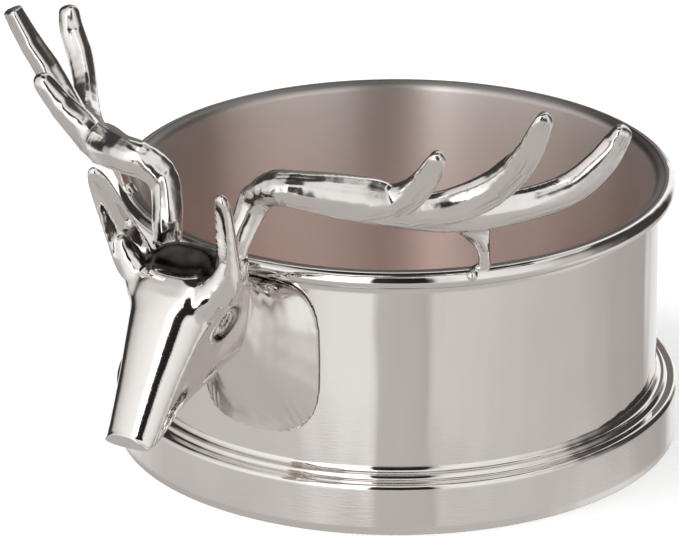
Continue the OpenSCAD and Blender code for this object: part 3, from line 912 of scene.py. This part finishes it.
def narrow_strut(co, side):
    """Tapers the strut towards its foot."""
    right_x, right_y = PICTURE_RIGHT
    across = (co[:, 0] * side - STRUT_EDGE[0]) * right_x + (co[:, 1] - STRUT_EDGE[1]) * right_y
    on_strut = (co[:, 2] < STRUT_TOP) & (np.abs(across) < 9) & (co[:, 0] * side > 35) & (co[:, 1] > -56)
    taper = 0.42 * falloff(co[:, 2], STRUT_FOOT, STRUT_TOP) * rise(co[:, 2], 61.0, 62.5)
    shift = -across * taper * on_strut
    moved = co.copy()
    moved[:, 0] += side * right_x * shift
    moved[:, 1] += right_y * shift
    return moved


def antler(side):
    """One antler with its strut: 1 is the animal's left one, -1 its right one."""
    left, right = ("antler_left", "left_antler", 31), ("antler_right", "right_antler", 47)
    name, node, seed = left if side > 0 else right
    web = [(side * x, y, z) for x, y, z in WEB_LINE]
    parts = [mesh_of(node), tube(web, WEB_RADII, 14)]
    if side > 0:
        parts.append(bead_of_metal(FOOT_DROP, 1.3, 0.9))
    obj = remeshed(name, parts, ANTLER_VOXEL)
    set_coords(obj, narrow_strut(coords(obj), side))
    relax(obj, 90)
    fill_creases(obj, 96)
    relax(obj, 90)
    co, n, (pairs, degree) = coords(obj), normals(obj), links_of(obj)
    move, lines = strokes(co, side, seed)
    move = (move + 0.06 * wave_noise(co, 9.0, seed + 1))[:, None]
    for _ in range(8):
        move = averaged(move, pairs, degree)
    set_coords(obj, co + n * (move - 0.05 * lines[:, None]))
    relax(obj, 2)
    # The fine grooves are painted dark
    finish_casting(obj, node, CAST_ANTLER, 0.3 * lines)


round_wall()
rim_roll()
base_moulding()
floor_plate()
baize_pad()
stag_head()
stag_neck()
antler(1)
antler(-1)


# Stage, light and camera

# The studio as the metal sees it: greys by the turn from the camera in degrees, positive to the
# image's right. The table side lies below the horizon, the low side below that, the upper side
# above the table and the top side above that.
TABLE_SIDE = [
    (-180, 1.0), (-150, 0.95), (-110, 0.64), (-60, 0.68), (-47, 0.72), (-36, 0.88), (-28, 0.94),
    (-14, 0.93), (-7, 0.60), (4, 0.56), (14, 0.53), (17, 0.70), (20, 0.75), (36, 0.73), (50, 0.68),
    (70, 0.63), (85, 0.61), (112, 0.50), (138, 0.46), (152, 0.85), (180, 1.0),
]
UPPER_SIDE = [
    (-180, 0.2), (-170, 0.15), (-160, 0.05), (-124, 0.04), (-116, 0.35), (-108, 0.66), (-92, 0.82),
    (-76, 0.96), (-60, 1.08), (-40, 1.15), (-32, 1.6), (-26, 2.3), (-15, 2.3), (-12, 0.04), (0, 0.02),
    (14, 0.02), (18, 0.85), (24, 1.05), (48, 0.95), (64, 0.78), (78, 0.55), (92, 0.2), (104, 0.06),
    (139, 0.05), (145, 0.3), (151, 1.1), (163, 1.15), (167, 0.25), (172, 0.2), (180, 0.2),
]
LOW_SIDE = [
    (-180, 0.52), (-120, 0.52), (-60, 0.56), (0, 0.58), (60, 0.60), (76, 0.74), (90, 0.86), (108, 0.84),
    (122, 0.74), (134, 0.60), (180, 0.52),
]
TOP_SIDE = [
    (-180, 1.2), (-165, 1.1), (-152, 0.5), (-146, 0.2), (-128, 0.2), (-116, 0.6), (-60, 0.85), (-38, 1.1),
    (-28, 1.8), (-12, 1.8), (-8, 0.95), (20, 0.95), (45, 0.9), (75, 1.0), (100, 0.9), (140, 0.6),
    (152, 0.5), (165, 1.1), (180, 1.2),
]
# Sines of the elevations between which one side gives way to the next
TABLE_TO_UPPER = (-0.33, -0.24)
UPPER_TO_TOP = (0.70, 0.80)
LOW_TO_TABLE = (-0.45, -0.395)
BENEATH_TO_LOW = (-0.75, -0.60)
UNDERNEATH = (0.55, 0.5225, 0.5115)
# A dark round opening in the roof of light, behind the zenith: its direction across, away and up,
# the cosines from it between which it grows dark, and its grey
DARK_ROOF = (0.05, 0.14, 0.99)
ROOF_EDGE = (0.90, 0.94)
DARK_ROOF_LEVEL = 0.03
# The red, green and blue towards which a grey turns as it darkens, how strongly it turns, and the
# grey that lights what isn't reflected
SHADE_WARMTH = (1.0, 0.93, 0.90)
WARMTH_GAIN = 1.4
DIFFUSE_LEVEL = 0.78
WHITE = (1.0, 1.0, 1.0)


def studio_ramp(n, turn, table):
    """Greys by turn; darker ones are warmer."""
    stops = []
    for degrees, value in table:
        depth = max(0.0, 1 - value)
        color = tuple(value * (1 - depth * (1 - w) * WARMTH_GAIN) for w in SHADE_WARMTH)
        stops.append(((degrees + 180) / 360, color))
    return n.ramp(turn, stops)


def studio_world():
    """The studio's light by direction, seen in reflections alone; the camera sees plain white."""
    world = bpy.data.worlds.new("studio")
    bpy.context.scene.world = world
    n = Nodes(world)
    a = math.radians(CAMERA_AZIMUTH)
    ray = n.add("ShaderNodeTexCoord").outputs["Generated"]
    toward = n.dot(ray, (math.sin(a), -math.cos(a), 0.0))
    across = n.dot(ray, (math.cos(a), math.sin(a), 0.0))
    turn = n.span(n.math("ARCTAN2", across, toward), -math.pi, math.pi, 0.0, 1.0)
    height = n.add("ShaderNodeSeparateXYZ", {"Vector": ray}).outputs["Z"]
    seen = studio_ramp(n, turn, TABLE_SIDE)
    seen = n.mix(n.span(height, *TABLE_TO_UPPER, 0.0, 1.0, True), seen, studio_ramp(n, turn, UPPER_SIDE))
    seen = n.mix(n.span(height, *UPPER_TO_TOP, 0.0, 1.0, True), seen, studio_ramp(n, turn, TOP_SIDE))
    seen = n.mix(n.span(height, *LOW_TO_TABLE, 1.0, 0.0, True), seen, studio_ramp(n, turn, LOW_SIDE))
    seen = n.mix(n.span(height, *BENEATH_TO_LOW, 1.0, 0.0, True), seen, UNDERNEATH)
    side, back, up = DARK_ROOF
    aim = (side * math.cos(a) - back * math.sin(a), side * math.sin(a) + back * math.cos(a), up)
    seen = n.mix(n.span(n.dot(ray, aim), *ROOF_EDGE, 0.0, 1.0, True), seen, (DARK_ROOF_LEVEL,) * 3)
    path = n.add("ShaderNodeLightPath").outputs
    color = n.mix(path["Is Glossy Ray"], (DIFFUSE_LEVEL,) * 3, seen)
    color = n.mix(path["Is Camera Ray"], color, WHITE)
    color = n.mix(path["Is Transmission Ray"], color, WHITE)
    shader = n.add("ShaderNodeBackground", {"Color": color, "Strength": 1.0})
    n.surface(shader, "ShaderNodeOutputWorld")


def table_top():
    """A pale floor that keeps the shadow; polished metal looks past it to the studio."""
    half = 1500.0
    corners = [(-half, -half, 0), (half, -half, 0), (half, half, 0), (-half, half, 0)]
    floor = new_piece("table_top", corners, [(0, 1, 2, 3)])
    material, n = new_material("table_white")
    pale = n.span(n.noise(n.place(), 20.0, 3.0), 0.3, 0.7, 0.90, 0.93)
    path = n.add("ShaderNodeLightPath").outputs
    diffuse = n.add("ShaderNodeBsdfDiffuse", {"Color": pale, "Roughness": 0.5})
    strength = n.times(path["Is Camera Ray"], 0.08)
    glow = n.add("ShaderNodeEmission", {"Color": WHITE, "Strength": strength})
    seen = n.add("ShaderNodeAddShader", {0: diffuse.outputs[0], 1: glow.outputs[0]})
    through = n.add("ShaderNodeBsdfTransparent")
    inputs = {0: path["Is Glossy Ray"], 1: seen.outputs[0], 2: through.outputs[0]}
    n.surface(n.add("ShaderNodeMixShader", inputs))
    floor.data.materials.append(material)


def soft_lamp(name, place_mm, size_mm, watts):
    """A round lamp that faces the middle of the table and leaves no spot in the metal."""
    light = bpy.data.lights.new(name, "AREA")
    light.shape = "DISK"
    light.size = size_mm * MM
    light.energy = watts
    lamp = bpy.data.objects.new(name, light)
    place = Vector(place_mm) * MM
    lamp.location = place
    lamp.rotation_mode = "QUATERNION"
    lamp.rotation_quaternion = place.to_track_quat("Z", "Y")
    lamp.visible_glossy = False
    bpy.context.scene.collection.objects.link(lamp)


def photo_camera():
    a, e, roll = (math.radians(v) for v in (CAMERA_AZIMUTH, CAMERA_ELEVATION, CAMERA_ROLL))
    right = Vector((math.cos(a), math.sin(a), 0))
    back = Vector((math.sin(a) * math.cos(e), -math.cos(a) * math.cos(e), math.sin(e)))
    up = back.cross(right)
    place = right * AIM_SIDE + Vector((0, 0, AIM_HEIGHT)) + back * CAMERA_DISTANCE
    tilted_right = math.cos(roll) * right + math.sin(roll) * up
    tilted_up = -math.sin(roll) * right + math.cos(roll) * up
    camera = bpy.data.cameras.new("photo_camera")
    camera.lens = FOCAL_PX * SENSOR_MM / FRAME_WIDTH_PX
    camera.sensor_width = SENSOR_MM
    camera.clip_start, camera.clip_end = 0.05, 20.0
    obj = bpy.data.objects.new("photo_camera", camera)
    turn = Matrix((tilted_right, tilted_up, back)).transposed().to_4x4()
    obj.matrix_world = Matrix.Translation(place * MM) @ turn
    bpy.context.scene.collection.objects.link(obj)
    bpy.context.scene.camera = obj


studio_world()
table_top()
soft_lamp("key_lamp", (-500, -500, 900), 700, 7.0)
soft_lamp("fill_lamp", (700, -300, 700), 700, 3.0)
photo_camera()
bpy.context.scene.view_settings.view_transform = "Standard"
